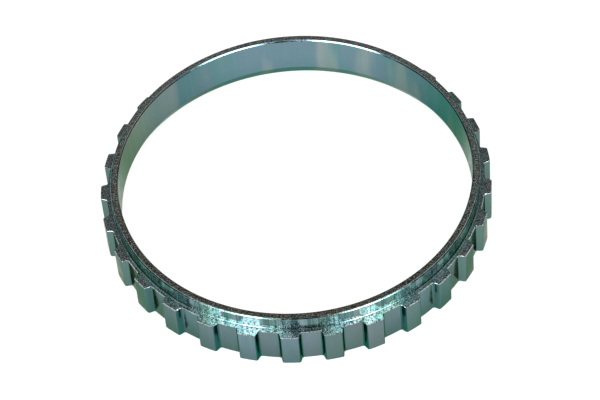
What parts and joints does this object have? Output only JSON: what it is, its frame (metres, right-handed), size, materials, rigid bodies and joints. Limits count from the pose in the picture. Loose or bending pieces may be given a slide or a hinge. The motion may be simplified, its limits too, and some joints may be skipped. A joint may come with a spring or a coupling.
{
  "type": "abs tone ring",
  "caption": "Zinc-plated sintered steel ring with straight-sided teeth round its lower band, a plain thin collar above and a straight bore that opens in a lead-in cone.",
  "frame": {"origin": "on the bore's axis, at the foot face, which is the lead-in end with the teeth", "axes": "+Z along the bore's axis from the toothed end to the collar's rim; -Y through the middle of one tooth"},
  "size_m": [0.096, 0.0959, 0.0137],
  "materials": {
    "plated_steel": "satin zinc plating with a blue-green tint, finely granular on the pressed end faces"
  },
  "bodies": {
    "root": {"tone_ring": "plated_steel"}
  },
  "joints": []
}
